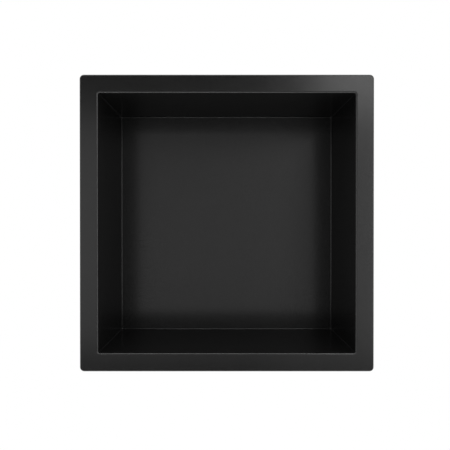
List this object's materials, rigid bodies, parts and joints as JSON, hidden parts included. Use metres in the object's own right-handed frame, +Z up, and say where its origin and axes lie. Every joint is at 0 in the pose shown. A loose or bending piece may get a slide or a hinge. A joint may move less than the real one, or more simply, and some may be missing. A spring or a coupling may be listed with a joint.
{
  "type": "shower niche insert",
  "caption": "Square shower niche insert: an open-fronted recess folded from sheet steel, with a flat flange round the opening and a lip that stands on the wall.",
  "frame": {"origin": "middle of the opening, on the plane of the wall that the flange's lip stands on", "axes": "+Z up, +Y into the wall, +X to the right of someone who looks into the niche"},
  "size_m": [0.3048, 0.1016, 0.3076],
  "materials": {
    "satin_black_coat": "satin black coating on folded steel"
  },
  "bodies": {
    "root": {"niche_shell": "satin_black_coat"}
  },
  "joints": []
}
